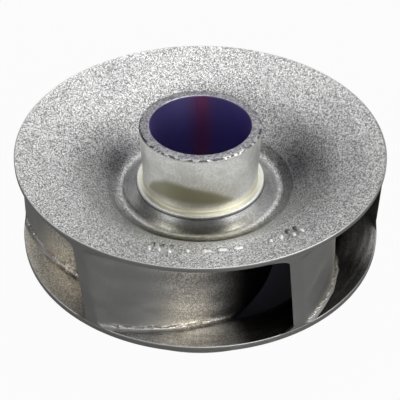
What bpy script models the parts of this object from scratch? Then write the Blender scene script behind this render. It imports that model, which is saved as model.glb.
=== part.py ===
# Closed pump impeller, cast in stainless steel, standing on its suction face.
# The real thing is one casting. It is modelled as its hub sleeve, back shroud,
# front shroud, suction neck and six vanes, which meet with a hairline gap.
# The origin is on the axis, in the suction face, and +Z runs up to the collar.

import math

import bmesh
import bpy
import numpy as np

# Driving dimensions, in metres
OUTER_RADIUS = 0.1100        # both shrouds and the vane tips end on this cylinder
RIM_HEIGHT = 0.0945          # upper edge of the back shroud's rim
COLLAR_RISE = 0.0133         # how far the collar stands above that rim
COLLAR_RADIUS = 0.0363       # at its end
COLLAR_FOOT_RADIUS = 0.0347  # its casting draft narrows it downwards
BORE_RADIUS = 0.0301
COLLAR_CHAMFER = 0.0009
BORE_CHAMFER = 0.0006
SHOULDER_RADIUS = 0.0389     # the ledge round the foot of the collar
SHOULDER_DROP = 0.0255       # its face, below the rim
SHOULDER_ROUND = 0.0007
COVE_RADIUS = 0.0008         # hollow corner between collar and ledge
HUB_NOSE_HEIGHT = 0.0260     # lower end of the hub, above the suction face
HUB_NOSE_ROUND = 0.0025
BACK_RIM_THICKNESS = 0.0031
FRONT_RIM_TOP = 0.0354
FRONT_RIM_THICKNESS = 0.0041
NECK_OUTER_RADIUS = 0.0814
NECK_INNER_RADIUS = 0.0760
NECK_HEIGHT = 0.0125
NECK_CHAMFER = 0.0008
MEETING_GAP = 0.0003         # left where two pieces of the casting meet

# Vanes: angles are in degrees about +Z, from the front (-Y) towards +X
VANE_COUNT = 6
FIRST_VANE_ANGLE = -33.8
WIDE_PITCH = 64.0            # the core sat a little off, so one gap is wider
VANE_OUTLET_ANGLE = 20.0     # between the vane and the rim's tangent
VANE_INLET_ANGLE = 32.0
VANE_LEAN = 58.0             # degrees turned for each metre of height
VANE_TIP_THICKNESS = 0.0025
VANE_ROOT_THICKNESS = 0.0040
VANE_FRONT_INLET_RADIUS = 0.0800
VANE_BACK_INLET_RADIUS = 0.0420

# Fineness of the faceted solids
TURN_STEPS = 64
CURVE_POINTS = 13
VANE_STATIONS = 20
VANE_ROWS = 5

# Dish of the back shroud as radius and drop below the rim, from the rim inward
# to the valley and up the turned flare to the foot of the shoulder
BACK_FACE = (
    (OUTER_RADIUS, 0.0000),
    (0.0943, 0.0046),
    (0.0742, 0.0137),
    (0.0660, 0.0206),
    (0.0550, 0.0304),
    (0.0495, 0.0350),
    (0.0440, 0.0325),
    (SHOULDER_RADIUS + MEETING_GAP, 0.0278),
)

# Its flow side, from the rim inward to where it meets the hub
BACK_FLOW = (
    (OUTER_RADIUS, BACK_RIM_THICKNESS),
    (0.0943, 0.0082),
    (0.0742, 0.0180),
    (0.0605, 0.0310),
    (0.0500, 0.0430),
    (0.0430, 0.0520),
    (SHOULDER_RADIUS + MEETING_GAP, 0.0590),
)

# Front shroud as radius and height above the suction face, from the rim inward
# and down to the neck: first its flow side, then its outside
FRONT_FLOW = (
    (OUTER_RADIUS, FRONT_RIM_TOP),
    (0.1000, 0.0348),
    (0.0910, 0.0326),
    (0.0840, 0.0286),
    (0.0792, 0.0225),
    (0.0768, 0.0170),
    (NECK_INNER_RADIUS, NECK_HEIGHT),
)
FRONT_OUTSIDE = (
    (OUTER_RADIUS, FRONT_RIM_TOP - FRONT_RIM_THICKNESS),
    (0.1010, 0.0306),
    (0.0930, 0.0284),
    (0.0875, 0.0248),
    (0.0838, 0.0200),
    (0.0820, 0.0160),
    (NECK_OUTER_RADIUS, NECK_HEIGHT),
)


def clear_scene():
    for old in list(bpy.data.objects):
        bpy.data.objects.remove(old, do_unlink=True)


def smooth_curve(points, count):
    """Even samples of a smooth curve through the points, by arc length."""
    knots = np.array(points)
    steps = np.linalg.norm(np.diff(knots, axis=0), axis=1)
    along = np.concatenate(([0.0], np.cumsum(steps)))
    slopes = np.gradient(knots, along, axis=0)
    where = np.linspace(0.0, along[-1], count)
    left = np.clip(np.searchsorted(along, where, side="right") - 1, 0, len(along) - 2)
    span = along[left + 1] - along[left]
    t = ((where - along[left]) / span)[:, None]
    span = span[:, None]
    start = (2 * t ** 3 - 3 * t ** 2 + 1) * knots[left]
    leave = (t ** 3 - 2 * t ** 2 + t) * span * slopes[left]
    end = (3 * t ** 2 - 2 * t ** 3) * knots[left + 1]
    arrive = (t ** 3 - t ** 2) * span * slopes[left + 1]
    return start + leave + end + arrive


def back_curve(points):
    """A curve of the back shroud, its drops turned into heights."""
    curve = smooth_curve(points, CURVE_POINTS)
    curve[:, 1] = RIM_HEIGHT - curve[:, 1]
    return curve


def height_on(curve, radius):
    """Height of a shroud curve at a radius, on its straight facets."""
    return np.interp(radius, curve[::-1, 0], curve[::-1, 1])


def make_material(name, color, roughness):
    material = bpy.data.materials.new(name)
    material.use_nodes = True
    shader = material.node_tree.nodes["Principled BSDF"]
    shader.inputs["Base Color"].default_value = (*color, 1.0)
    shader.inputs["Metallic"].default_value = 1.0
    shader.inputs["Roughness"].default_value = roughness
    return material


def add_object(name, mesh, material, collection):
    """Link a mesh as a named part, shaded smooth between its sharp edges."""
    mesh.shade_smooth()
    mesh.set_sharp_from_angle(angle=math.radians(32))
    mesh.materials.clear()
    mesh.materials.append(material)
    part = bpy.data.objects.new(name, mesh)
    collection.objects.link(part)
    return part


def turned_part(name, outline, material, collection):
    """Turn a closed outline at +X, which runs down its outer side, round Z."""
    profile = bpy.data.meshes.new(name + "_profile")
    points = [(radius, 0.0, height) for radius, height in outline]
    edges = [(i, (i + 1) % len(points)) for i in range(len(points))]
    profile.from_pydata(points, edges, [])
    turner = bpy.data.objects.new(name + "_profile", profile)
    collection.objects.link(turner)
    screw = turner.modifiers.new("Turn", "SCREW")
    screw.axis = "Z"
    screw.angle = math.tau
    screw.steps = TURN_STEPS
    screw.render_steps = TURN_STEPS
    screw.use_merge_vertices = True
    screw.merge_threshold = 0.00001
    screw.use_smooth_shade = True
    graph = bpy.context.evaluated_depsgraph_get()
    mesh = bpy.data.meshes.new_from_object(turner.evaluated_get(graph))
    mesh.name = name
    bpy.data.objects.remove(turner, do_unlink=True)
    bpy.data.meshes.remove(profile)
    return add_object(name, mesh, material, collection)


def hub_outline():
    """Collar with chamfered end, cove, shoulder ledge, plain hub and nose."""
    top = RIM_HEIGHT + COLLAR_RISE
    ledge = RIM_HEIGHT - SHOULDER_DROP
    cove = 0.3 * COVE_RADIUS
    return [
        (COLLAR_RADIUS - COLLAR_CHAMFER, top),
        (COLLAR_RADIUS, top - COLLAR_CHAMFER),
        (COLLAR_FOOT_RADIUS, ledge + COVE_RADIUS),
        (COLLAR_FOOT_RADIUS + cove, ledge + cove),
        (COLLAR_FOOT_RADIUS + COVE_RADIUS, ledge),
        (SHOULDER_RADIUS - SHOULDER_ROUND, ledge),
        (SHOULDER_RADIUS, ledge - SHOULDER_ROUND),
        (SHOULDER_RADIUS, HUB_NOSE_HEIGHT + HUB_NOSE_ROUND),
        (SHOULDER_RADIUS - 0.3 * HUB_NOSE_ROUND, HUB_NOSE_HEIGHT + 0.3 * HUB_NOSE_ROUND),
        (SHOULDER_RADIUS - HUB_NOSE_ROUND, HUB_NOSE_HEIGHT),
        (BORE_RADIUS + BORE_CHAMFER, HUB_NOSE_HEIGHT),
        (BORE_RADIUS, HUB_NOSE_HEIGHT + BORE_CHAMFER),
        (BORE_RADIUS, top - BORE_CHAMFER),
        (BORE_RADIUS + BORE_CHAMFER, top),
    ]


def neck_outline():
    """Plain ring below the front shroud, chamfered at the suction face."""
    top = NECK_HEIGHT - MEETING_GAP
    return [
        (NECK_OUTER_RADIUS, top),
        (NECK_OUTER_RADIUS, NECK_CHAMFER),
        (NECK_OUTER_RADIUS - NECK_CHAMFER, 0.0),
        (NECK_INNER_RADIUS + NECK_CHAMFER, 0.0),
        (NECK_INNER_RADIUS, NECK_CHAMFER),
        (NECK_INNER_RADIUS, top),
    ]


def shroud_outline(upper, lower):
    """Closed outline between two curves that both run from the rim inward."""
    return [*map(tuple, lower), *map(tuple, upper[::-1])]


def vane_wrap(radius):
    """Angle turned from the tip in to a radius, in radians.

    A logarithmic spiral whose slope opens from the outlet to the inlet angle.
    """
    outlet = math.tan(math.radians(VANE_OUTLET_ANGLE))
    inlet = math.tan(math.radians(VANE_INLET_ANGLE))
    inward = np.log(OUTER_RADIUS / radius)
    opening = (inlet - outlet) / math.log(OUTER_RADIUS / VANE_BACK_INLET_RADIUS)
    slope = outlet + opening * inward
    return np.log(slope / outlet) / opening, slope


def vane_thickness(station):
    """Thin at the tip, thickest half way, rounded off at the leading edge."""
    swell = np.sin(math.pi * np.clip(station / 0.9, 0.0, 1.0)) ** 0.8
    body = VANE_TIP_THICKNESS + (VANE_ROOT_THICKNESS - VANE_TIP_THICKNESS) * swell
    nose = np.sqrt(np.clip(1.0 - ((station - 0.93) / 0.075) ** 2, 0.0, 1.0))
    return body * np.where(station > 0.93, nose, 1.0)


def vane_mesh(name, tip_angle, floor, roof):
    """Loft one vane from its tip in to the leading edge, between the shrouds."""
    station = np.linspace(0.0, 1.0, VANE_STATIONS)[:, None]
    row = np.linspace(0.0, 1.0, VANE_ROWS)[None, :]
    floor_radius = OUTER_RADIUS + (VANE_FRONT_INLET_RADIUS - OUTER_RADIUS) * station
    roof_radius = OUTER_RADIUS + (VANE_BACK_INLET_RADIUS - OUTER_RADIUS) * station
    floor_height = height_on(floor, floor_radius) + MEETING_GAP
    roof_height = height_on(roof, roof_radius) - MEETING_GAP
    radius = floor_radius + (roof_radius - floor_radius) * row
    height = floor_height + (roof_height - floor_height) * row
    wrap, slope = vane_wrap(radius)
    lean = np.radians(VANE_LEAN) * (FRONT_RIM_TOP - height)
    middle = math.radians(tip_angle) + wrap + lean
    half = vane_thickness(station) / (2.0 * radius * np.sin(np.arctan(slope)))
    mesh = bmesh.new()
    loops = []
    for i in range(VANE_STATIONS):
        loop = []
        for side, rows in ((1.0, range(VANE_ROWS)), (-1.0, reversed(range(VANE_ROWS)))):
            for j in rows:
                angle = middle[i, j] + side * half[i, j]
                place = (
                    radius[i, j] * math.sin(angle),
                    -radius[i, j] * math.cos(angle),
                    height[i, j],
                )
                loop.append(mesh.verts.new(place))
        loops.append(loop)
    count = len(loops[0])
    for outer, inner in zip(loops, loops[1:]):
        for k in range(count):
            mesh.faces.new((outer[k], outer[(k + 1) % count], inner[(k + 1) % count], inner[k]))
    mesh.faces.new(loops[0][::-1])
    mesh.faces.new(loops[-1])
    bmesh.ops.triangulate(mesh, faces=mesh.faces[:])
    bmesh.ops.recalc_face_normals(mesh, faces=mesh.faces[:])
    data = bpy.data.meshes.new(name)
    mesh.to_mesh(data)
    mesh.free()
    return data


def vane_angles():
    """Even pitches, but for the wide one between the first and second vane."""
    pitch = (360.0 - WIDE_PITCH) / (VANE_COUNT - 1)
    later = [FIRST_VANE_ANGLE + WIDE_PITCH + pitch * i for i in range(VANE_COUNT - 1)]
    return [FIRST_VANE_ANGLE, *later]


def build_impeller():
    clear_scene()
    parts = bpy.data.collections.new("impeller")
    bpy.context.scene.collection.children.link(parts)
    turned = make_material("turned_steel", (0.52, 0.52, 0.50), 0.30)
    blasted = make_material("blasted_steel", (0.45, 0.45, 0.44), 0.48)
    cast = make_material("cast_steel", (0.30, 0.29, 0.27), 0.55)

    face = back_curve(BACK_FACE)
    roof = back_curve(BACK_FLOW)
    floor = smooth_curve(FRONT_FLOW, CURVE_POINTS)
    outside = smooth_curve(FRONT_OUTSIDE, CURVE_POINTS)

    turned_part("hub_sleeve", hub_outline(), turned, parts)
    turned_part("back_shroud", shroud_outline(face, roof), blasted, parts)
    turned_part("front_shroud", shroud_outline(floor, outside), cast, parts)
    turned_part("suction_neck", neck_outline(), turned, parts)
    for number, angle in enumerate(vane_angles(), start=1):
        name = f"vane_{number}"
        add_object(name, vane_mesh(name, angle, floor, roof), cast, parts)


build_impeller()
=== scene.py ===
import math

import bmesh
import bpy
import numpy as np
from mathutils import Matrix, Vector


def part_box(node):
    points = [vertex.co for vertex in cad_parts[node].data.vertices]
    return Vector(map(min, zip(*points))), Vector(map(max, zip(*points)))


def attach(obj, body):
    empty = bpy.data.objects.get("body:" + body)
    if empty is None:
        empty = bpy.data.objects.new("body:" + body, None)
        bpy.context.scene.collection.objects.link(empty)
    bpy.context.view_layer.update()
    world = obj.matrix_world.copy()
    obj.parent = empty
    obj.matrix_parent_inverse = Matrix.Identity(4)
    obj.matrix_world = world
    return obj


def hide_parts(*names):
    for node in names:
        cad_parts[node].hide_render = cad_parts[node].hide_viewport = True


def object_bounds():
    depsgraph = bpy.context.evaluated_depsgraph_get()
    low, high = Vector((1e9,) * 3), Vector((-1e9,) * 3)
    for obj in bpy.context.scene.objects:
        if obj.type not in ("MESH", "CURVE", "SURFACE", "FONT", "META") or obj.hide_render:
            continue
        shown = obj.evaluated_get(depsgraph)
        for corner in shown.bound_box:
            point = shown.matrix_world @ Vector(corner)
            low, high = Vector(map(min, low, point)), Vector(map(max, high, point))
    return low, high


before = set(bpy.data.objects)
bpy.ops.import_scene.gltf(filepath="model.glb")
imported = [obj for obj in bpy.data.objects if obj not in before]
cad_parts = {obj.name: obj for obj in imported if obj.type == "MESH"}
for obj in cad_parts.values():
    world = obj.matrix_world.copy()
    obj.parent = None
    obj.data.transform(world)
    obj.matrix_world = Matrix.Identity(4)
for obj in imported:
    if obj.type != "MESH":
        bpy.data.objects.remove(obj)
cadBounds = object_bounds()

mm = 0.001
hubLow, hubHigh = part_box("hub_sleeve")
dishLow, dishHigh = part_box("back_shroud")
plateLow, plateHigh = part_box("front_shroud")
neckLow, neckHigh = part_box("suction_neck")
outerRadius = dishHigh.x          # both rims and the vane tips end here
rimHeight = dishHigh.z            # upper edge of the dished back shroud
collarTop = hubHigh.z
print("frame loaded: outer radius", round(outerRadius / mm, 2), "mm")


# Curves and grids

def smoothCurve(knots, count):
    # Hermite curve through the knots, slopes taken over arc length, even steps
    knots = np.array(knots, float) * mm
    along = np.concatenate(([0.0], np.cumsum(np.linalg.norm(np.diff(knots, axis=0), axis=1))))
    slopes = np.gradient(knots, along, axis=0)
    where = np.linspace(0.0, along[-1], count)
    left = np.clip(np.searchsorted(along, where, side="right") - 1, 0, len(along) - 2)
    span = (along[left + 1] - along[left])[:, None]
    t = (where - along[left])[:, None] / span
    return ((2 * t ** 3 - 3 * t ** 2 + 1) * knots[left] + (t ** 3 - 2 * t ** 2 + t) * span * slopes[left]
            + (3 * t ** 2 - 2 * t ** 3) * knots[left + 1] + (t ** 3 - t ** 2) * span * slopes[left + 1])


def roundedPath(corners, arcSteps=7):
    # Closed path of straight lines; a corner (r, z, round) becomes an arc of that radius
    spots = np.array([c[:2] for c in corners], float)
    rounds = [c[2] for c in corners]
    path = []
    for i, spot in enumerate(spots):
        if rounds[i] <= 0.0:
            path.append(spot[None])
            continue
        back = spots[i - 1] - spot
        ahead = spots[(i + 1) % len(spots)] - spot
        back /= np.linalg.norm(back)
        ahead /= np.linalg.norm(ahead)
        half = 0.5 * math.acos(np.clip(back @ ahead, -1.0, 1.0))
        reach = rounds[i] / math.tan(half)
        middle = back + ahead
        centre = spot + middle / np.linalg.norm(middle) * rounds[i] / math.sin(half)
        start = spot + back * reach - centre
        end = spot + ahead * reach - centre
        turn = math.atan2(start[0] * end[1] - start[1] * end[0], start @ end)
        angle = np.linspace(0.0, turn, arcSteps)[:, None]
        side = np.array([-start[1], start[0]])
        path.append(centre + np.cos(angle) * start + np.sin(angle) * side)
    return np.concatenate(path)


def refine(path, spacing, closed=True):
    # Straight stretches longer than the spacing are cut into even shorter ones
    ends = np.roll(path, -1, axis=0) if closed else path[1:]
    starts = path if closed else path[:-1]
    pieces = []
    for a, b in zip(starts, ends):
        count = max(1, int(math.ceil(np.linalg.norm(b - a) / spacing)))
        pieces.append(a + (b - a) * np.linspace(0.0, 1.0, count, endpoint=False)[:, None])
    if not closed:
        pieces.append(path[-1:])
    return np.concatenate(pieces)


def turned(path, steps):
    # Point at path (r, z) and angle a is (r cos a, r sin a, z)
    angle = np.linspace(0.0, math.tau, steps, endpoint=False)
    radius = path[:, :1]
    height = np.broadcast_to(path[:, 1:], (len(path), steps))
    return np.stack((radius * np.cos(angle), radius * np.sin(angle), height), axis=-1)


def gridFaces(rows, columns, closeRows, closeColumns):
    # Quads between neighbouring rows and columns, wrapped where a direction closes
    i = np.arange(rows if closeRows else rows - 1)
    j = np.arange(columns if closeColumns else columns - 1)
    a, b = np.meshgrid(i, j, indexing="ij")
    a2 = (a + 1) % rows
    b2 = (b + 1) % columns
    quads = np.stack((a * columns + b, a2 * columns + b, a2 * columns + b2, a * columns + b2), axis=-1)
    return quads.reshape(-1, 4)


def waves(u, v, seed, count, lowest, highest):
    # Sum of cosines of whole-number turns of u and free steps of v, about -1 to 1
    draw = np.random.default_rng(seed)
    total = np.zeros(np.broadcast(u, v).shape)
    for k in range(count):
        turns = draw.integers(lowest, highest + 1) * draw.choice((-1, 1))
        steps = draw.uniform(-highest, highest)
        total += np.cos(turns * u + steps * v + draw.uniform(0.0, math.tau))
    return total / math.sqrt(count)


def outward(points, faces):
    # A closed shell with a negative volume is inside out, so its faces turn round
    flat = points.reshape(-1, 3)
    a, b, c, d = (flat[faces[:, k]] for k in range(4))
    volume = np.einsum("ij,ij->", a, np.cross(b, c)) + np.einsum("ij,ij->", a, np.cross(c, d))
    return faces[:, ::-1] if volume < 0.0 else faces


def makePiece(name, points, faces, material, nodes=(), sharp=38.0, masks=None, weld=False):
    flat = points.reshape(-1, 3)
    mesh = bpy.data.meshes.new(name)
    mesh.from_pydata(flat.tolist(), [], faces.tolist())
    for maskName, values in (masks or {}).items():
        layer = mesh.attributes.new(maskName, "FLOAT", "POINT")
        layer.data.foreach_set("value", np.broadcast_to(values, points.shape[:-1]).astype(np.float32).ravel())
    mesh.materials.append(material)
    piece = bpy.data.objects.new(name, mesh)
    bpy.context.scene.collection.objects.link(piece)
    if weld:
        shell = bmesh.new()
        shell.from_mesh(mesh)
        bmesh.ops.remove_doubles(shell, verts=shell.verts, dist=0.000002)
        bmesh.ops.recalc_face_normals(shell, faces=shell.faces)
        shell.to_mesh(mesh)
        shell.free()
    mesh.shade_smooth()
    mesh.set_sharp_from_angle(angle=math.radians(sharp))
    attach(piece, "root")
    if nodes:
        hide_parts(*nodes)
    print("made", name, len(mesh.polygons), "faces")
    return piece


# Shader groups: each puts out only values that change over the surface

def makeGroup(name, inputs, outputs):
    group = bpy.data.node_groups.new(name, "ShaderNodeTree")
    for socketName, kind, value in inputs:
        socket = group.interface.new_socket(socketName, in_out="INPUT", socket_type=kind)
        if kind == "NodeSocketFloat":
            socket.default_value = value
    for socketName, kind in outputs:
        group.interface.new_socket(socketName, in_out="OUTPUT", socket_type=kind)
    return group, group.nodes.new("NodeGroupInput"), group.nodes.new("NodeGroupOutput")


def addMath(tree, operation, first, second=None, third=None, clamp=False):
    node = tree.nodes.new("ShaderNodeMath")
    node.operation = operation
    node.use_clamp = clamp
    for socket, value in zip(node.inputs, (first, second, third)):
        if value is None:
            continue
        if isinstance(value, (int, float)):
            socket.default_value = value
        else:
            tree.links.new(value, socket)
    return node.outputs[0]


def addRange(tree, value, low, high, toLow=0.0, toHigh=1.0):
    node = tree.nodes.new("ShaderNodeMapRange")
    node.interpolation_type = "SMOOTHSTEP"
    tree.links.new(value, node.inputs["Value"])
    for socketName, given in (("From Min", low), ("From Max", high), ("To Min", toLow), ("To Max", toHigh)):
        if isinstance(given, (int, float)):
            node.inputs[socketName].default_value = given
        else:
            tree.links.new(given, node.inputs[socketName])
    return node.outputs["Result"]


def addNoise(tree, vector, scale, detail=2.0, roughness=0.5):
    node = tree.nodes.new("ShaderNodeTexNoise")
    tree.links.new(vector, node.inputs["Vector"])
    if isinstance(scale, (int, float)):
        node.inputs["Scale"].default_value = scale
    else:
        tree.links.new(scale, node.inputs["Scale"])
    node.inputs["Detail"].default_value = detail
    node.inputs["Roughness"].default_value = roughness
    return node.outputs["Fac"]


def makeGrainGroup():
    # Blasted or cast grain: value is 0.5 + contrast * (cell and noise, each less its middle); height is noise
    group, given, out = makeGroup(
        "grain",
        (("Vector", "NodeSocketVector", None), ("Scale", "NodeSocketFloat", 1000.0), ("Contrast", "NodeSocketFloat", 1.0)),
        (("Value", "NodeSocketFloat"), ("Height", "NodeSocketFloat")))
    fine = addNoise(group, given.outputs["Vector"], given.outputs["Scale"], 1.0)
    cells = group.nodes.new("ShaderNodeTexVoronoi")
    group.links.new(given.outputs["Vector"], cells.inputs["Vector"])
    group.links.new(given.outputs["Scale"], cells.inputs["Scale"])
    cellShare = addMath(group, "MULTIPLY_ADD", cells.outputs["Color"], 0.4, -0.2)
    centred = addMath(group, "MULTIPLY_ADD", fine, 0.3, -0.15)
    both = addMath(group, "ADD", cellShare, centred)
    scaled = addMath(group, "MULTIPLY", both, given.outputs["Contrast"])
    value = addMath(group, "ADD", scaled, 0.5, clamp=True)
    group.links.new(value, out.inputs["Value"])
    group.links.new(fine, out.inputs["Height"])
    return group


def makeTurnGroup():
    # Tool marks: noise over radius and height, nearly the same all the way round
    group, given, out = makeGroup(
        "toolMarks",
        (("Vector", "NodeSocketVector", None), ("Scale", "NodeSocketFloat", 1.0), ("Wander", "NodeSocketFloat", 6.0)),
        (("Value", "NodeSocketFloat"),))
    split = group.nodes.new("ShaderNodeSeparateXYZ")
    group.links.new(given.outputs["Vector"], split.inputs[0])
    square = addMath(group, "MULTIPLY", split.outputs["X"], split.outputs["X"])
    radiusSquare = addMath(group, "MULTIPLY_ADD", split.outputs["Y"], split.outputs["Y"], square)
    radius = addMath(group, "SQRT", radiusSquare)
    angle = addMath(group, "ARCTAN2", split.outputs["Y"], split.outputs["X"])
    bend = addMath(group, "SINE", addMath(group, "MULTIPLY", angle, 1.0))
    across = addMath(group, "MULTIPLY", radius, given.outputs["Scale"])
    upward = addMath(group, "MULTIPLY", split.outputs["Z"], given.outputs["Scale"])
    wander = addMath(group, "MULTIPLY", bend, given.outputs["Wander"])
    join = group.nodes.new("ShaderNodeCombineXYZ")
    group.links.new(across, join.inputs["X"])
    group.links.new(wander, join.inputs["Y"])
    group.links.new(upward, join.inputs["Z"])
    lines = addNoise(group, join.outputs[0], 1.0, 3.0, 0.65)
    group.links.new(lines, out.inputs["Value"])
    return group


def makeStainGroup():
    # Soft stains: broad noise pushed towards 0 or 1 by the amount given
    group, given, out = makeGroup(
        "stain",
        (("Vector", "NodeSocketVector", None), ("Scale", "NodeSocketFloat", 40.0), ("Amount", "NodeSocketFloat", 0.5)),
        (("Mask", "NodeSocketFloat"),))
    noise = addNoise(group, given.outputs["Vector"], given.outputs["Scale"], 4.0, 0.6)
    low = addMath(group, "SUBTRACT", 0.75, addMath(group, "MULTIPLY", given.outputs["Amount"], 0.5))
    high = addMath(group, "ADD", low, 0.18)
    group.links.new(addRange(group, noise, low, high), out.inputs["Mask"])
    return group


grainGroup = makeGrainGroup()
turnGroup = makeTurnGroup()
stainGroup = makeStainGroup()


class Finish:
    # One steel finish: a Principled BSDF whose inputs are fed step by step

    def __init__(self, name, color, roughness, metallic=1.0):
        self.material = bpy.data.materials.new(name)
        self.material.use_nodes = True
        self.tree = self.material.node_tree
        self.shader = self.tree.nodes["Principled BSDF"]
        self.shader.inputs["Metallic"].default_value = metallic
        self.where = self.tree.nodes.new("ShaderNodeTexCoord").outputs["Object"]
        start = self.tree.nodes.new("ShaderNodeRGB")
        start.outputs[0].default_value = (*color, 1.0)
        self.color = start.outputs[0]
        self.rough = addMath(self.tree, "ADD", roughness, 0.0)
        self.normal = None

    def group(self, group, **values):
        node = self.tree.nodes.new("ShaderNodeGroup")
        node.node_tree = group
        self.tree.links.new(self.where, node.inputs["Vector"])
        for socketName, value in values.items():
            node.inputs[socketName].default_value = value
        return node

    def mask(self, name):
        node = self.tree.nodes.new("ShaderNodeAttribute")
        node.attribute_name = name
        return node.outputs["Fac"]

    def blend(self, factor, color, kind="MIX", amount=1.0):
        node = self.tree.nodes.new("ShaderNodeMix")
        node.data_type = "RGBA"
        node.blend_type = kind
        share = addMath(self.tree, "MULTIPLY", factor, amount, clamp=True)
        self.tree.links.new(share, node.inputs["Factor"])
        self.tree.links.new(self.color, node.inputs["A"])
        if isinstance(color, tuple):
            node.inputs["B"].default_value = (*color, 1.0)
        else:
            self.tree.links.new(color, node.inputs["B"])
        self.color = node.outputs["Result"]

    def shade(self, value, low, high):
        # Multiplies the colour by low where the value is 0 and by high where it is 1
        factor = addMath(self.tree, "MULTIPLY_ADD", value, high - low, low)
        node = self.tree.nodes.new("ShaderNodeVectorMath")
        node.operation = "SCALE"
        self.tree.links.new(self.color, node.inputs[0])
        self.tree.links.new(factor, node.inputs["Scale"])
        self.color = node.outputs[0]

    def roughen(self, value, amount):
        self.rough = addMath(self.tree, "MULTIPLY_ADD", value, amount, self.rough)

    def bump(self, height, strength, distance):
        node = self.tree.nodes.new("ShaderNodeBump")
        node.inputs["Strength"].default_value = strength
        node.inputs["Distance"].default_value = distance
        self.tree.links.new(height, node.inputs["Height"])
        if self.normal is not None:
            self.tree.links.new(self.normal, node.inputs["Normal"])
        self.normal = node.outputs[0]

    def done(self):
        self.tree.links.new(self.color, self.shader.inputs["Base Color"])
        self.tree.links.new(addMath(self.tree, "MINIMUM", self.rough, 0.95), self.shader.inputs["Roughness"])
        if self.normal is not None:
            self.tree.links.new(self.normal, self.shader.inputs["Normal"])
        return self.material


blastSettings = {
    "color": (0.56, 0.56, 0.558),
    "roughness": 0.42,
    "grainScale": 2000.0,     # grains of about half a millimetre
    "grainContrast": 6.5,
    "darkGrain": 0.30,
    "lightGrain": 1.70,
}


def makeBlasted():
    finish = Finish("blastedSteel", blastSettings["color"], blastSettings["roughness"])
    grain = finish.group(grainGroup, Scale=blastSettings["grainScale"], Contrast=blastSettings["grainContrast"])
    stain = finish.group(stainGroup, Scale=26.0, Amount=0.5)
    turn = finish.group(turnGroup, Scale=1500.0, Wander=5.0)
    smooth = finish.mask("turned")
    grainy = finish.mask("grainy")
    centred = addMath(finish.tree, "SUBTRACT", grain.outputs["Value"], 0.5)
    grainShown = addMath(finish.tree, "MULTIPLY_ADD", centred, grainy, 0.5)
    finish.blend(stain.outputs["Mask"], (0.47, 0.47, 0.475), amount=0.5)
    finish.blend(smooth, (0.44, 0.44, 0.435), amount=1.0)
    # Painted shade: a dark olive crescent on the dish in front of the collar
    finish.blend(finish.mask("frontShade"), (0.25, 0.24, 0.185), amount=0.8)
    # Painted shadows of the collar on the dish, to its left and right
    finish.blend(finish.mask("collarShadows"), (0.15, 0.15, 0.165), amount=0.85)
    finish.shade(grainShown, blastSettings["darkGrain"], blastSettings["lightGrain"])
    # Painted highlight along the rim's upper edge and on the lit sides of the cast marks
    finish.blend(finish.mask("edge"), (0.88, 0.88, 0.86), amount=0.8)
    finish.blend(finish.mask("band"), (0.34, 0.34, 0.335), amount=0.95)
    # Painted shade, near black, on the shroud's flow side and on the inner sides of the cast marks
    finish.blend(finish.mask("inner"), (0.075, 0.071, 0.065), amount=1.0)
    finish.roughen(stain.outputs["Mask"], 0.05)
    finish.roughen(smooth, -0.18)
    height = addMath(finish.tree, "MULTIPLY", grain.outputs["Height"], grainy)
    finish.bump(height, 0.45, 0.0005)
    finish.bump(turn.outputs["Value"], 0.08, 0.0002)
    return finish.done()


turnedSettings = {
    "color": (0.93, 0.93, 0.91),
    "roughness": 0.33,
    "lineScale": 1800.0,
}


def makeTurned():
    finish = Finish("turnedSteel", turnedSettings["color"], turnedSettings["roughness"])
    turn = finish.group(turnGroup, Scale=turnedSettings["lineScale"], Wander=4.0)
    grain = finish.group(grainGroup, Scale=1050.0, Contrast=5.0)
    flecks = finish.group(grainGroup, Scale=520.0, Contrast=14.0)
    stain = finish.group(stainGroup, Scale=60.0, Amount=0.6)
    finish.shade(turn.outputs["Value"], 0.86, 1.14)
    finish.shade(grain.outputs["Value"], 0.90, 1.10)
    finish.blend(stain.outputs["Mask"], (0.70, 0.70, 0.65), amount=0.5)
    finish.blend(finish.mask("foot"), (0.80, 0.78, 0.63), amount=0.75)
    # Painted reflection: a dark olive band low on the collar
    finish.blend(finish.mask("collarReflection"), (0.42, 0.40, 0.27), amount=0.92)
    ring = finish.mask("ring")
    finish.blend(ring, (0.48, 0.47, 0.50), amount=0.9)
    speckled = addMath(finish.tree, "MULTIPLY", ring, grain.outputs["Value"])
    finish.blend(speckled, (0.12, 0.115, 0.14), amount=0.8)
    # Painted shade and painted glints on the collar's chamfer: near black, with bright flecks
    chamferGlintsAndShade = finish.mask("chamferGlintsAndShade")
    finish.blend(chamferGlintsAndShade, (0.03, 0.03, 0.035), amount=0.9)
    few = addMath(finish.tree, "MULTIPLY_ADD", flecks.outputs["Value"], 2.4, -1.4, clamp=True)
    bright = addMath(finish.tree, "MULTIPLY", chamferGlintsAndShade, few)
    finish.blend(bright, (0.95, 0.95, 0.93), amount=0.95)
    finish.blend(finish.mask("bore"), (0.42, 0.38, 0.80), amount=1.0)
    finish.blend(finish.mask("streak"), (0.75, 0.22, 0.40), amount=0.9)
    # Painted shade, near black, on the hub below the ledge inside the impeller
    finish.blend(finish.mask("inside"), (0.04, 0.038, 0.035), amount=0.95)
    finish.roughen(grain.outputs["Value"], 0.08)
    finish.bump(turn.outputs["Value"], 0.10, 0.0002)
    finish.bump(grain.outputs["Height"], 0.16, 0.0004)
    return finish.done()


castSettings = {
    "color": (0.47, 0.455, 0.43),
    "roughness": 0.42,
    "grainScale": 1700.0,
}


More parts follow.
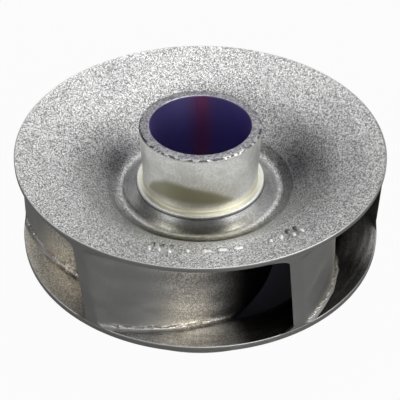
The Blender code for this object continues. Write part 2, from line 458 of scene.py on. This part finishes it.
def makeCast():
    finish = Finish("castSteel", castSettings["color"], castSettings["roughness"])
    grain = finish.group(grainGroup, Scale=castSettings["grainScale"], Contrast=5.0)
    stain = finish.group(stainGroup, Scale=70.0, Amount=0.55)
    rust = finish.group(stainGroup, Scale=150.0, Amount=0.30)
    turn = finish.group(turnGroup, Scale=1300.0, Wander=6.0)
    skin = finish.mask("skin")
    centred = addMath(finish.tree, "SUBTRACT", grain.outputs["Value"], 0.5)
    grainShown = addMath(finish.tree, "MULTIPLY_ADD", centred, skin, 0.5)
    finish.blend(stain.outputs["Mask"], (0.34, 0.31, 0.27), amount=0.5)
    finish.blend(rust.outputs["Mask"], (0.26, 0.17, 0.11), amount=0.4)
    finish.blend(finish.mask("smooth"), (0.36, 0.363, 0.366), amount=0.9)
    # Painted light: a warm lighter patch on the left-hand floor and on the vanes before the dark
    finish.blend(finish.mask("paintedLight"), (0.78, 0.73, 0.64), amount=0.85)
    finish.shade(grainShown, 0.6, 1.4)
    # Painted shadow beside each vane's foot, under the parting flash
    finish.blend(finish.mask("footShadow"), (0.07, 0.05, 0.035), amount=0.85)
    # Painted highlight along the front shroud's rim edge
    finish.blend(finish.mask("edge"), (0.85, 0.85, 0.83), amount=0.7)
    finish.blend(finish.mask("band"), (0.34, 0.34, 0.335), amount=0.9)
    # Painted shade, near black, deep in the passages and inside the eye
    finish.blend(finish.mask("deepShade"), (0.012, 0.012, 0.012), amount=0.98)
    finish.roughen(stain.outputs["Mask"], 0.08)
    height = addMath(finish.tree, "MULTIPLY", grain.outputs["Height"], skin)
    finish.bump(height, 0.4, 0.0006)
    finish.bump(turn.outputs["Value"], 0.08, 0.0002)
    return finish.done()


def makeFlash():
    finish = Finish("flashSteel", (0.80, 0.77, 0.70), 0.30)
    grain = finish.group(grainGroup, Scale=900.0, Contrast=5.0)
    stain = finish.group(stainGroup, Scale=260.0, Amount=0.6)
    finish.shade(grain.outputs["Value"], 0.6, 1.2)
    finish.blend(stain.outputs["Mask"], (0.32, 0.27, 0.21), amount=0.7)
    # Painted shade on the underside of the fin
    finish.blend(finish.mask("underShade"), (0.06, 0.045, 0.035), amount=0.9)
    finish.bump(grain.outputs["Height"], 0.5, 0.0006)
    return finish.done()


blastedSteel = makeBlasted()
turnedSteel = makeTurned()
castSteel = makeCast()
flashSteel = makeFlash()
print("materials made")


# Back shroud: dish, valley and flare above, flow side below, one closed turned shell

dishSettings = {
    # radius and drop below the rim, in millimetres, from the rim inward
    "face": ((110.0, 0.0), (94.3, 4.6), (74.2, 13.7), (66.0, 20.6), (60.0, 25.9), (56.0, 29.6), (53.0, 32.3),
             (50.5, 33.7), (48.2, 34.0), (46.0, 33.3), (43.5, 31.5), (41.3, 29.6), (39.2, 27.8)),
    "flow": ((110.0, 3.1), (94.3, 8.2), (74.2, 18.0), (60.5, 31.0), (50.0, 43.0), (43.0, 52.0), (39.2, 59.0)),
    "edgeRound": 0.45,
    "machined": 56.2,         # turned inside this radius, blasted outside it
    "steps": 320,
    "spacing": 1.1,
    "lumps": 0.05,            # casting waviness of the dish
}


def shroudCurve(knots, count):
    # A curve of the back shroud, its drops turned into heights
    curve = smoothCurve(knots, count)
    curve[:, 1] = rimHeight - curve[:, 1]
    return curve


def heightOn(curve, radius):
    # Height of a curve that runs from the rim inward, at a radius
    return np.interp(radius, curve[::-1, 0], curve[::-1, 1])


faceCurve = shroudCurve(dishSettings["face"], 121)
roofCurve = shroudCurve(dishSettings["flow"], 61)


def ramp(value, low, high):
    t = np.clip((value - low) / (high - low), 0.0, 1.0)
    return t * t * (3.0 - 2.0 * t)


def bell(angle, middle, width, power=2):
    # exp of minus the power of the angle from the middle over the width, wrapped round the circle
    return np.exp(-np.abs(((angle - middle + math.pi) % math.tau - math.pi) / width) ** power)


def makeDish():
    edge = dishSettings["edgeRound"] * mm
    rimArc = np.linspace(0.0, 0.5 * math.pi, 5)
    upperEdge = np.stack((outerRadius - edge + edge * np.cos(rimArc), rimHeight - edge + edge * np.sin(rimArc)), axis=1)
    lowerZ = roofCurve[0, 1]
    lowerEdge = np.stack((outerRadius - edge + edge * np.sin(rimArc), lowerZ + edge - edge * np.cos(rimArc)), axis=1)
    face = faceCurve[faceCurve[:, 0] < outerRadius - 1.2 * edge][::-1]
    roof = roofCurve[roofCurve[:, 0] < outerRadius - 1.2 * edge]
    path = np.concatenate((face, upperEdge[::-1], lowerEdge[::-1], roof))
    path = refine(path, dishSettings["spacing"] * mm)
    points = turned(path, dishSettings["steps"])
    angle = np.linspace(0.0, math.tau, dishSettings["steps"], endpoint=False)[None, :]
    radius, height = path[:, :1], path[:, 1:]
    top = height > heightOn(0.5 * (np.column_stack((faceCurve[:, 0], faceCurve[:, 1]))) + 0.5 * np.column_stack(
        (faceCurve[:, 0], heightOn(roofCurve, faceCurve[:, 0]))), radius)
    inside = ramp(radius, 41 * mm, 50 * mm) * (1.0 - ramp(radius, 105 * mm, 109 * mm))
    lumps = waves(angle, radius / (12 * mm), 11, 18, 2, 9) * dishSettings["lumps"] * mm * inside
    points[..., 2] += lumps
    band = ramp(radius, outerRadius - 0.35 * mm, outerRadius - 0.1 * mm) * np.ones_like(angle)
    # Painted highlight along the rim's upper edge
    rimHighlight = np.exp(-((radius - outerRadius + 0.3 * mm) / (0.35 * mm)) ** 2) * (height > rimHeight - 0.7 * mm)
    machined = dishSettings["machined"] * mm
    turnedMask = (1.0 - ramp(radius, machined, machined + 0.5 * mm)) * np.ones_like(angle)
    grainy = 0.22 + 0.5 * ramp(radius, 45 * mm, 51 * mm) + 0.28 * ramp(radius, machined, machined + mm)
    # Painted shade on the dish in front of the collar
    frontShade = bell(angle, -0.5 * math.pi, 0.8, 4) * ramp(radius, 40 * mm, 43 * mm) * (1.0 - ramp(radius, 58 * mm, 64 * mm))
    # Painted shadows of the collar, one on each side of it
    collarShadows = bell(angle, math.radians(158.0), 0.40) * np.exp(-((radius - 57 * mm) / (8 * mm)) ** 2)
    collarShadows += bell(angle, math.radians(12.0), 0.36) * np.exp(-((radius - 61 * mm) / (8 * mm)) ** 2)
    # Painted shade on the flow side below the dish
    roofShade = (~top) * (1.0 - band) * np.ones_like(angle)
    faces = outward(points, gridFaces(len(path), dishSettings["steps"], True, True))
    masks = {"band": band, "edge": rimHighlight, "turned": turnedMask, "inner": roofShade, "frontShade": frontShade,
             "collarShadows": collarShadows,
             "grainy": grainy * (1.0 - 0.8 * band)}
    return makePiece("backShroud", points, faces, blastedSteel, ("back_shroud",), masks=masks)


# Hub: bored collar with a chamfered end, a ledge round its foot, and the nose below

hubSettings = {
    "endRadius": 36.3,
    "footRadius": 34.7,
    "boreRadius": 30.1,
    "endChamfer": 0.9,
    "ledgeRadius": 38.9,
    "ledgeDrop": 25.5,
    "cove": 0.8,
    "noseRound": 2.5,
    "steps": 320,
    "chatter": 0.22,          # roughness of the hand-broken edge at the collar's end
    # edges of the band of painted dark reflection low on the collar: degrees from the front, millimetres above the
    # ledge
    "reflectionTop": ((-64.0, 4.0), (-52.0, 14.0), (-35.0, 20.0), (-19.0, 20.6), (0.0, 18.3), (14.0, 15.2), (32.0, 8.0), (42.0, 4.0)),
    "reflectionFoot": ((-62.0, 5.0), (-35.0, 7.0), (0.0, 7.0), (40.0, 5.0)),
}


def makeHub():
    s = {key: value * mm for key, value in hubSettings.items() if isinstance(value, float)}
    ledge = rimHeight - s["ledgeDrop"]
    nose = hubLow.z
    corners = (
        (s["endRadius"] - s["endChamfer"], collarTop, 0.15 * mm),
        (s["endRadius"], collarTop - s["endChamfer"], 0.15 * mm),
        (s["footRadius"], ledge, s["cove"]),
        (s["ledgeRadius"], ledge + 0.1 * mm, 0.75 * mm),
        (s["ledgeRadius"], nose, s["noseRound"]),
        (s["boreRadius"], nose, 0.6 * mm),
        (s["boreRadius"], collarTop, 0.35 * mm),
    )
    path = refine(roundedPath(corners), 1.0 * mm)
    points = turned(path, hubSettings["steps"])
    angle = np.linspace(0.0, math.tau, hubSettings["steps"], endpoint=False)[None, :]
    radius, height = path[:, :1], path[:, 1:]
    atChamfer = np.exp(-((radius - s["endRadius"] + 0.5 * s["endChamfer"]) / (0.8 * mm)) ** 2)
    atChamfer = atChamfer * ramp(height, collarTop - 1.4 * mm, collarTop - 0.5 * mm)
    chatter = waves(angle, radius / (2 * mm), 5, 26, 20, 120) * s["chatter"] * atChamfer
    points[..., 2] -= np.abs(chatter)
    ring = ramp(height, collarTop - 0.3 * mm, collarTop - 0.05 * mm) * np.ones_like(angle)
    bore = (radius < s["boreRadius"] + 0.05 * mm) * ramp(-height, -collarTop + 0.2 * mm, -collarTop + 0.5 * mm)
    bore = bore * np.ones_like(angle)
    streakAngle = np.radians(88.0)
    streak = bore * np.exp(-((angle - streakAngle) / 0.22) ** 2)
    foot = (radius > s["footRadius"] - 0.2 * mm) * (1.0 - ramp(height, ledge + 1 * mm, ledge + 6 * mm))
    foot = foot * (radius < s["ledgeRadius"] - 0.9 * mm) * np.ones_like(angle)
    faces = outward(points, gridFaces(len(path), hubSettings["steps"], True, True))
    # Painted shade on the hub below the ledge, inside the impeller
    inside = (1.0 - ramp(height, ledge - 3 * mm, ledge - 1.5 * mm)) * (radius > s["boreRadius"] + mm) * np.ones_like(angle)
    above = (height - ledge) / mm
    fromFront = np.degrees((angle + 0.5 * math.pi + math.pi) % math.tau - math.pi)
    upper, lower = (np.interp(fromFront, *zip(*hubSettings[edge])) for edge in ("reflectionTop", "reflectionFoot"))
    # Painted dark reflection on the collar's lower part
    collarReflection = ramp(above, lower - 3.0, lower + 2.0) * (1.0 - ramp(above, upper - 3.0, upper + 1.5))
    collarReflection = collarReflection * ramp(upper, 5.0, 9.0) * (radius > s["footRadius"] - 0.2 * mm)
    # chamferGlintsAndShade carries painted glints and painted shade on the chamfer
    masks = {"ring": ring * (1 - bore), "bore": bore, "streak": streak, "foot": foot, "inside": inside, "collarReflection": collarReflection,
             "chamferGlintsAndShade": atChamfer * (1 - bore) * np.ones_like(angle)}
    return makePiece("hubSleeve", points, faces, turnedSteel, ("hub_sleeve",), masks=masks)


# Front shroud: the lower plate, its floor curving down into the eye

plateSettings = {
    # radius and height above the suction face, in millimetres, from the rim inward
    "floor": ((110.0, 35.4), (100.0, 34.8), (91.0, 32.6), (84.0, 28.6), (79.2, 22.5), (76.8, 17.0), (76.0, 12.5)),
    "outside": ((110.0, 31.3), (101.0, 30.6), (93.0, 28.4), (87.5, 24.8), (83.8, 20.0), (82.0, 16.0), (81.4, 12.5)),
    "edgeRound": 0.5,
    "steps": 384,
    "spacing": 1.1,
    "lumps": 0.10,
}
floorCurve = smoothCurve(plateSettings["floor"], 61)
outsideCurve = smoothCurve(plateSettings["outside"], 61)


# Vanes: lofted from the tips inward along an opening spiral, with fillets at both shrouds

vaneSettings = {
    "first": -33.8,           # degrees from the front towards +X
    "widePitch": 64.0,
    "count": 6,
    "outletAngle": 20.0,
    "inletAngle": 32.0,
    "lean": 58.0,             # degrees turned for each metre of height
    "tipThickness": 2.5,
    "rootThickness": 4.0,
    "frontInlet": 80.0,
    "backInlet": 42.0,
    "roofFillet": 4.2,
    "floorFillet": 3.0,
    "sunk": 0.15,
    "stations": 110,
    "rows": 44,
    "lumps": 0.16,
}


def vaneAngles():
    pitch = (360.0 - vaneSettings["widePitch"]) / (vaneSettings["count"] - 1)
    second = vaneSettings["first"] + vaneSettings["widePitch"]
    return [vaneSettings["first"]] + [second + pitch * i for i in range(vaneSettings["count"] - 1)]


def vaneWrap(radius):
    # Angle turned from the tip in to a radius, on a spiral whose slope opens inward
    outlet = math.tan(math.radians(vaneSettings["outletAngle"]))
    inlet = math.tan(math.radians(vaneSettings["inletAngle"]))
    opening = (inlet - outlet) / math.log(outerRadius / (vaneSettings["backInlet"] * mm))
    slope = outlet + opening * np.log(outerRadius / radius)
    return np.log(slope / outlet) / opening, slope


def vaneSide(tipAngle, radius, height, extra, side):
    # Point of one face of a vane at a radius and height, moved out by an extra thickness
    wrap, slope = vaneWrap(radius)
    lean = np.radians(vaneSettings["lean"]) * (floorCurve[0, 1] - height)
    angle = math.radians(tipAngle) + wrap + lean + side * extra / (radius * np.sin(np.arctan(slope)))
    return np.stack((radius * np.sin(angle), -radius * np.cos(angle), height * np.ones_like(angle)), axis=-1)


def vaneHalf(station):
    # Half thickness: thin at the tip, swelling, then rounded off at the leading edge
    tip, root = vaneSettings["tipThickness"] * mm, vaneSettings["rootThickness"] * mm
    body = tip + (root - tip) * np.sin(math.pi * np.clip(station / 0.9, 0.0, 1.0)) ** 0.8
    nose = np.sqrt(np.clip(1.0 - ((station - 0.93) / 0.07) ** 2, 0.0, 1.0))
    return 0.5 * body * np.where(station > 0.93, nose, 1.0)


def footShadowMask(angle, radius):
    # Painted shadow in the corner beside each vane's outer foot, under its parting flash, fading with the distance from
    # it
    safe = np.clip(radius, 0.07, outerRadius)
    wrap, slope = vaneWrap(safe)
    total = np.zeros(np.broadcast(angle, radius).shape)
    for tipAngle in vaneAngles():
        lean = np.radians(vaneSettings["lean"]) * (floorCurve[0, 1] - heightOn(floorCurve, safe))
        along = math.radians(tipAngle) + wrap + lean - 0.5 * math.pi
        offset = (angle - along + math.pi) % math.tau - math.pi
        away = offset * safe * np.sin(np.arctan(slope)) - 2.2 * mm
        total = np.maximum(total, np.exp(-(away / (1.6 * mm)) ** 2) * ramp(outerRadius - safe, 0.0, 4 * mm))
    return total


def makePlate():
    edge = plateSettings["edgeRound"] * mm
    arc = np.linspace(0.0, 0.5 * math.pi, 5)
    topZ, lowZ = floorCurve[0, 1], outsideCurve[0, 1]
    upperEdge = np.stack((outerRadius - edge + edge * np.cos(arc), topZ - edge + edge * np.sin(arc)), axis=1)
    lowerEdge = np.stack((outerRadius - edge + edge * np.sin(arc), lowZ + edge - edge * np.cos(arc)), axis=1)
    floor = floorCurve[floorCurve[:, 0] < outerRadius - 1.2 * edge][::-1]
    outside = outsideCurve[outsideCurve[:, 0] < outerRadius - 1.2 * edge]
    path = np.concatenate((floor, upperEdge[::-1], lowerEdge[::-1], outside))
    path = refine(path, plateSettings["spacing"] * mm)
    points = turned(path, plateSettings["steps"])
    angle = np.linspace(0.0, math.tau, plateSettings["steps"], endpoint=False)[None, :]
    radius = path[:, :1]
    inside = ramp(radius, 77 * mm, 84 * mm) * (1.0 - ramp(radius, 106 * mm, 109.5 * mm))
    points[..., 2] += waves(angle, radius / (9 * mm), 21, 22, 3, 16) * plateSettings["lumps"] * mm * inside
    band = ramp(radius, outerRadius - 0.4 * mm, outerRadius - 0.1 * mm) * np.ones_like(angle)
    faces = outward(points, gridFaces(len(path), plateSettings["steps"], True, True))
    above = points[..., 2] > 0.5 * (heightOn(floorCurve, radius) + heightOn(outsideCurve, radius))
    # Painted highlight along the rim's upper edge
    rimHighlight = np.exp(-((radius - outerRadius + 0.3 * mm) / (0.4 * mm)) ** 2) * (path[:, 1:] > floorCurve[0, 1] - 0.6 * mm)
    fromFront = np.degrees((angle + 0.5 * math.pi + math.pi) % math.tau - math.pi)
    shaded = ramp(fromFront, 9.0, 16.0) * (1.0 - ramp(fromFront, 62.0, 80.0)) * 0.9
    # Painted shade: darker further into the passages, in one shaded passage, and black inside the eye
    deepShade = above * np.maximum(1.0 - ramp(radius, 82 * mm, 96 * mm), shaded * (1.0 - band)) + (radius < 76.5 * mm)
    masks = {
        "band": band,
        "edge": rimHighlight,
        "deepShade": deepShade,
        # painted light on the floor of the left-hand passages
        "paintedLight": above * (1.0 - ramp(fromFront, -48.0, -36.0)) * ramp(fromFront, -120.0, -95.0),
        "skin": (1.0 - band) * 0.8,
        # painted shadow under the parting flash
        "footShadow": above * footShadowMask(angle, radius),
    }
    return makePiece("frontShroud", points, faces, castSteel, ("front_shroud",), masks=masks)


# Suction neck: the turned ring that runs in the casing, and that the impeller stands on

neckSettings = {"outerRadius": 81.4, "innerRadius": 76.0, "height": 12.6, "chamfer": 0.8, "steps": 320}


def makeNeck():
    s = {key: value * mm for key, value in neckSettings.items() if key != "steps"}
    corners = (
        (s["outerRadius"], s["height"], 0.0),
        (s["outerRadius"], s["chamfer"], 0.1 * mm),
        (s["outerRadius"] - s["chamfer"], 0.0, 0.1 * mm),
        (s["innerRadius"] + s["chamfer"], 0.0, 0.1 * mm),
        (s["innerRadius"], s["chamfer"], 0.1 * mm),
        (s["innerRadius"], s["height"], 0.0),
    )
    path = refine(roundedPath(corners, 4), 1.5 * mm)
    points = turned(path, neckSettings["steps"])
    faces = outward(points, gridFaces(len(path), neckSettings["steps"], True, True))
    return makePiece("suctionNeck", points, faces, turnedSteel, ("suction_neck",))


def makeVane(number, tipAngle):
    s = vaneSettings
    u = np.linspace(0.0, 1.0, s["stations"])
    station = np.concatenate(([0.0, 0.0, 0.0], 0.004 + 0.996 * (u + 0.12 * np.sin(math.tau * u) / math.tau)))[:, None]
    share = np.concatenate(([0.0, 0.55, 0.93], np.ones(s["stations"])))[:, None]
    v = np.linspace(0.0, 1.0, s["rows"])
    row = (0.5 - 0.5 * np.cos(math.pi * v))[None, :]
    floorRadius = outerRadius + (s["frontInlet"] * mm - outerRadius) * station
    roofRadius = outerRadius + (s["backInlet"] * mm - outerRadius) * station
    floorZ, roofZ = heightOn(floorCurve, floorRadius), heightOn(roofCurve, roofRadius)
    radius = floorRadius + (roofRadius - floorRadius) * row
    height = floorZ + (roofZ - floorZ) * row
    above = np.clip(height - floorZ, 0.0, None)
    below = np.clip(roofZ - height, 0.0, None)
    spread = np.zeros_like(radius)
    for gap, fillet in ((above, s["floorFillet"] * mm), (below, s["roofFillet"] * mm)):
        reach = np.clip(fillet - gap, 0.0, fillet)
        spread += fillet - np.sqrt(fillet ** 2 - reach ** 2)
    fade = 1.0 - ramp(station, 0.90, 0.99)
    height = height + s["sunk"] * mm * (ramp(row, 0.999, 1.0) - (1.0 - ramp(row, 0.0, 0.001)))
    loops = []
    for side in (1.0, -1.0):
        lumps = waves(radius / (14 * mm), height / (14 * mm), 40 + number * 2 + int(side), 20, 1, 7)
        inner = ramp(station, 0.01, 0.08) * s["lumps"] * mm * lumps
        extra = (vaneHalf(station) + spread * fade + inner * fade) * share
        loops.append(vaneSide(tipAngle, radius, height, extra, side))
    points = np.concatenate((loops[0], loops[1][:, ::-1]), axis=1)
    faces = outward(points, gridFaces(points.shape[0], points.shape[1], False, True))
    flatRadius = np.concatenate((radius, radius[:, ::-1]), axis=1)
    band = ramp(flatRadius, outerRadius - 0.5 * mm, outerRadius - 0.15 * mm)
    rise = np.concatenate((row, row[:, ::-1]), axis=1)
    masks = {
        "band": band,
        "smooth": ramp(flatRadius, 93 * mm, 101 * mm),
        "skin": 1.0 - 0.9 * ramp(flatRadius, 92 * mm, 100 * mm),
        # painted shade, darker deeper in the passage
        "deepShade": 1.0 - ramp(flatRadius, 75 * mm, 90 * mm),
        # painted light on the lower vane faces just before the painted shade
        "paintedLight": np.exp(-((flatRadius - 91 * mm) / (6 * mm)) ** 2) * (1.0 - ramp(rise, 0.25, 0.7)),
    }
    return makePiece(f"vane{number}", points, faces, castSteel, (f"vane_{number}",), masks=masks, weld=True)


# Parting flash: a thin ragged fin along the foot of each vane, on its outer side

flashSettings = {
    "lift": 2.1,              # above the floor
    "reach": 2.0,             # out from the vane
    "thickness": 0.8,
    "from": 109.0,
    "to": 88.0,
    "steps": 150,
    "around": 8,
}


def makeFlash3d(number, tipAngle):
    s = flashSettings
    u = np.linspace(0.0, 1.0, s["steps"])[:, None]
    radius = (s["from"] + (s["to"] - s["from"]) * u) * mm
    draw = np.random.default_rng(70 + number)
    ragged = np.interp(u[:, 0], np.linspace(0, 1, 38), draw.uniform(0.35, 1.15, 38))[:, None]
    ends = np.sqrt(np.clip(np.minimum(u / 0.03, (1.0 - u) / 0.015), 0.0, 1.0))
    lift = s["lift"] * mm + 0.35 * mm * waves(u * 6.0, 0.0 * u, 90 + number, 7, 1, 5)
    around = np.linspace(0.0, math.tau, s["around"], endpoint=False)[None, :]
    tall = 0.5 * s["thickness"] * mm * (0.7 + 0.6 * ragged) * ends
    wide = s["reach"] * mm * ragged * ends
    height = heightOn(floorCurve, radius) + lift + tall * np.sin(around)
    outwardReach = vaneHalf(u * 0.3) + 0.3 * mm + wide * np.cos(around)
    points = vaneSide(tipAngle, radius * np.ones_like(around), height, outwardReach, 1.0)
    faces = outward(points, gridFaces(s["steps"], s["around"], False, True))
    # Painted shade on the fin's underside
    masks = {"underShade": ramp(-np.sin(around), -0.1, 0.5) * np.ones_like(radius)}
    return makePiece(f"partingFlash{number}", points, faces, flashSteel, masks=masks, weld=True, sharp=50.0)


# Raised casting marks: plain bars and pips in an arc on the dish

markSettings = {
    "radius": 90.0,
    "height": 1.3,
    "bars": ((-17.0, 4.6, 1.2), (-13.6, 4.6, 1.2), (-10.2, 4.6, 1.2), (2.0, 1.4, 2.8), (7.5, 1.4, 2.8),
             (13.0, 1.4, 2.8), (33.0, 4.6, 1.2), (36.4, 4.6, 1.2)),
    "pips": ((-4.5, 1.5), (25.0, 1.5), (29.0, 1.5)),
    "rows": 12,
    "columns": 20,
}


def softBox(halfSizes, columns, rows, square):
    # Superellipsoid: powers below one of the sine and cosine square a ball off
    around = np.linspace(-math.pi, math.pi, columns, endpoint=False)[None, :]
    rise = np.linspace(-0.5 * math.pi, 0.5 * math.pi, rows)[:, None]

    def squared(value):
        return np.sign(value) * np.abs(value) ** square

    a, b, c = halfSizes
    x = a * squared(np.cos(rise)) * squared(np.cos(around))
    y = b * squared(np.cos(rise)) * squared(np.sin(around))
    z = c * squared(np.sin(rise)) * np.ones_like(around)
    return np.stack((x, y, z), axis=-1)


def makeMarks():
    s = markSettings
    shapes, faces, lit, dark, count = [], [], [], [], 0
    entries = [(angle, (long, wide)) for angle, long, wide in s["bars"]] + [(angle, (r, r)) for angle, r in s["pips"]]
    for k, (degrees, (long, wide)) in enumerate(entries):
        square = 0.45 if long != wide else 1.0
        local = softBox((wide * mm, long * mm, s["height"] * mm), s["columns"], s["rows"], square)
        draw = np.random.default_rng(200 + k)
        local[..., 2] *= 1.0 + 0.4 * draw.uniform(-1, 1, local.shape[:2])
        # Painted highlight on each mark's outer side and painted shade on its inner side
        lit.append(ramp(local[..., 1], 0.0, 0.6 * long * mm).ravel())
        dark.append(ramp(-local[..., 1], 0.0, 0.6 * long * mm).ravel())
        radius = s["radius"] * mm
        low, high = heightOn(faceCurve, radius - mm), heightOn(faceCurve, radius + mm)
        slope = math.atan2(high - low, 2 * mm)
        a = math.radians(degrees)
        out = np.array((math.sin(a), -math.cos(a), 0.0))
        side = np.array((math.cos(a), math.sin(a), 0.0))
        along = out * math.cos(slope) + np.array((0, 0, math.sin(slope)))
        up = np.cross(side, along)
        up = up if up[2] > 0 else -up
        centre = out * radius + np.array((0, 0, heightOn(faceCurve, radius)))
        shapes.append((centre + local[..., :1] * side + local[..., 1:2] * along + local[..., 2:] * up).reshape(-1, 3))
        quads = gridFaces(s["rows"], s["columns"], False, True)
        faces.append(outward(shapes[-1], quads) + count)
        count += len(shapes[-1])
    points = np.concatenate(shapes)
    # edge is a painted highlight and inner a painted shade
    masks = {"grainy": 1.0, "edge": np.concatenate(lit), "inner": 0.7 * np.concatenate(dark)}
    return makePiece("castMarks", points, np.concatenate(faces), blastedSteel, masks=masks,
                     weld=True, sharp=60.0)


makeDish()
makeHub()
makePlate()
makeNeck()
for number, tipAngle in enumerate(vaneAngles(), start=1):
    makeVane(number, tipAngle)
    makeFlash3d(number, tipAngle)
makeMarks()


# Stage: a pale floor and a soft dome of soft lights

stageSettings = {
    "floorSize": 4.0,
    "seen": (1.0, 1.0, 1.0),
    "mirrored": (0.22, 0.22, 0.215),   # what the steel sees of the floor
    "shadowless": 0.96,       # share of its own glow in what the camera sees of the floor
    "backdrop": 1.0,
    # azimuth from the back towards the right, elevation, spread in degrees, strength
    "softLights": (
        (0.0, 5.0, 12.2, 0.75), (22.5, 5.0, 12.2, 0.37), (45.0, 5.0, 12.2, 0.17), (112.5, 5.0, 12.2, 1.9),
        (135.0, 5.0, 12.2, 1.1), (157.5, 5.0, 12.2, 1.5), (180.0, 5.0, 12.2, 1.1), (202.5, 5.0, 12.2, 0.3),
        (225.0, 5.0, 12.2, 0.75), (247.5, 5.0, 12.2, 1.9), (270.0, 5.0, 12.2, 1.0),
        (22.5, 20.0, 12.2, 0.5), (90.0, 20.0, 12.2, 0.26), (112.5, 20.0, 12.2, 2.6), (135.0, 20.0, 12.2, 1.5),
        (157.5, 20.0, 12.2, 2.4), (180.0, 20.0, 12.2, 1.25),
        (83.0, 38.0, 12.2, 0.8), (194.0, 38.0, 12.2, 0.3), (240.0, 38.0, 12.2, 0.2),
        (0.0, 56.0, 12.2, 1.35), (40.0, 56.0, 12.2, 1.45), (80.0, 56.0, 12.2, 0.2), (110.0, 57.5, 4.0, 9.0),
        (250.0, 57.0, 5.0, 4.5), (280.0, 56.0, 12.2, 0.2), (320.0, 56.0, 12.2, 0.5), (0.0, 76.0, 12.2, 1.7),
    ),
}


def makeFloor():
    half = stageSettings["floorSize"]
    mesh = bpy.data.meshes.new("floor")
    z = cadBounds[0][2] - 0.0002
    mesh.from_pydata([(-half, -half, z), (half, -half, z), (half, half, z), (-half, half, z)], [], [(0, 1, 2, 3)])
    floor = bpy.data.objects.new("floor", mesh)
    bpy.context.scene.collection.objects.link(floor)
    material = bpy.data.materials.new("paleFloor")
    material.use_nodes = True
    tree = material.node_tree
    shader = tree.nodes["Principled BSDF"]
    shader.inputs["Roughness"].default_value = 0.9
    shader.inputs["Base Color"].default_value = (*stageSettings["mirrored"], 1.0)
    glow = tree.nodes.new("ShaderNodeEmission")
    glow.inputs["Color"].default_value = (*stageSettings["seen"], 1.0)
    path = tree.nodes.new("ShaderNodeLightPath")
    length = tree.nodes.new("ShaderNodeVectorMath")
    length.operation = "LENGTH"
    tree.links.new(tree.nodes.new("ShaderNodeTexCoord").outputs["Object"], length.inputs[0])
    clear = addMath(tree, "GREATER_THAN", length.outputs["Value"], neckHigh.x)
    bright = addMath(tree, "MULTIPLY", clear, stageSettings["shadowless"])
    share = addMath(tree, "MULTIPLY", path.outputs["Is Camera Ray"], bright)
    mix = tree.nodes.new("ShaderNodeMixShader")
    tree.links.new(share, mix.inputs[0])
    tree.links.new(shader.outputs[0], mix.inputs[1])
    tree.links.new(glow.outputs[0], mix.inputs[2])
    tree.links.new(mix.outputs[0], tree.nodes["Material Output"].inputs["Surface"])
    mesh.materials.append(material)


def makeDome():
    # Strength of the dome: a bell round each soft light's direction, all added up
    world = bpy.data.worlds.new("studioDome")
    bpy.context.scene.world = world
    world.use_nodes = True
    tree = world.node_tree
    where = tree.nodes.new("ShaderNodeTexCoord").outputs["Generated"]
    total = 0.0
    for azimuth, elevation, spread, strength in stageSettings["softLights"]:
        a, e = math.radians(azimuth), math.radians(elevation)
        dot = tree.nodes.new("ShaderNodeVectorMath")
        dot.operation = "DOT_PRODUCT"
        tree.links.new(where, dot.inputs[0])
        dot.inputs[1].default_value = (math.cos(e) * math.sin(a), math.cos(e) * math.cos(a), math.sin(e))
        sharpness = 1.0 / math.radians(spread) ** 2
        power = addMath(tree, "MULTIPLY_ADD", dot.outputs["Value"], sharpness, -sharpness)
        total = addMath(tree, "MULTIPLY_ADD", addMath(tree, "EXPONENT", power), strength, total)
    seen = tree.nodes.new("ShaderNodeMix")
    tree.links.new(tree.nodes.new("ShaderNodeLightPath").outputs["Is Camera Ray"], seen.inputs["Factor"])
    tree.links.new(total, seen.inputs["A"])
    seen.inputs["B"].default_value = stageSettings["backdrop"]
    background = tree.nodes["Background"]
    tree.links.new(seen.outputs["Result"], background.inputs["Strength"])
    background.inputs["Color"].default_value = (1.0, 1.0, 1.0, 1.0)


makeFloor()
makeDome()

cameraSettings = {
    "elevation": 39.30,
    "distance": 6.08,          # in outer radii, from the aim
    "aim": (-0.002, -0.403),   # sideways, and below the rim, in outer radii
    "lens": 97.02,
    "sensor": 36.0,
}


def makeCamera():
    s = cameraSettings
    elevation = math.radians(s["elevation"])
    distance = s["distance"] * outerRadius
    aim = Vector((s["aim"][0] * outerRadius, 0.0, rimHeight + s["aim"][1] * outerRadius))
    data = bpy.data.cameras.new("camera")
    data.sensor_width = s["sensor"]
    data.lens = s["lens"]
    data.clip_start = 0.01
    camera = bpy.data.objects.new("camera", data)
    camera.location = aim + Vector((0.0, -distance * math.cos(elevation), distance * math.sin(elevation)))
    camera.rotation_euler = (aim - camera.location).to_track_quat("-Z", "Y").to_euler()
    bpy.context.scene.collection.objects.link(camera)
    bpy.context.scene.camera = camera


makeCamera()
bpy.context.scene.view_settings.view_transform = "Standard"
print("stage, lamps and camera made")

bpy.context.view_layer.update()
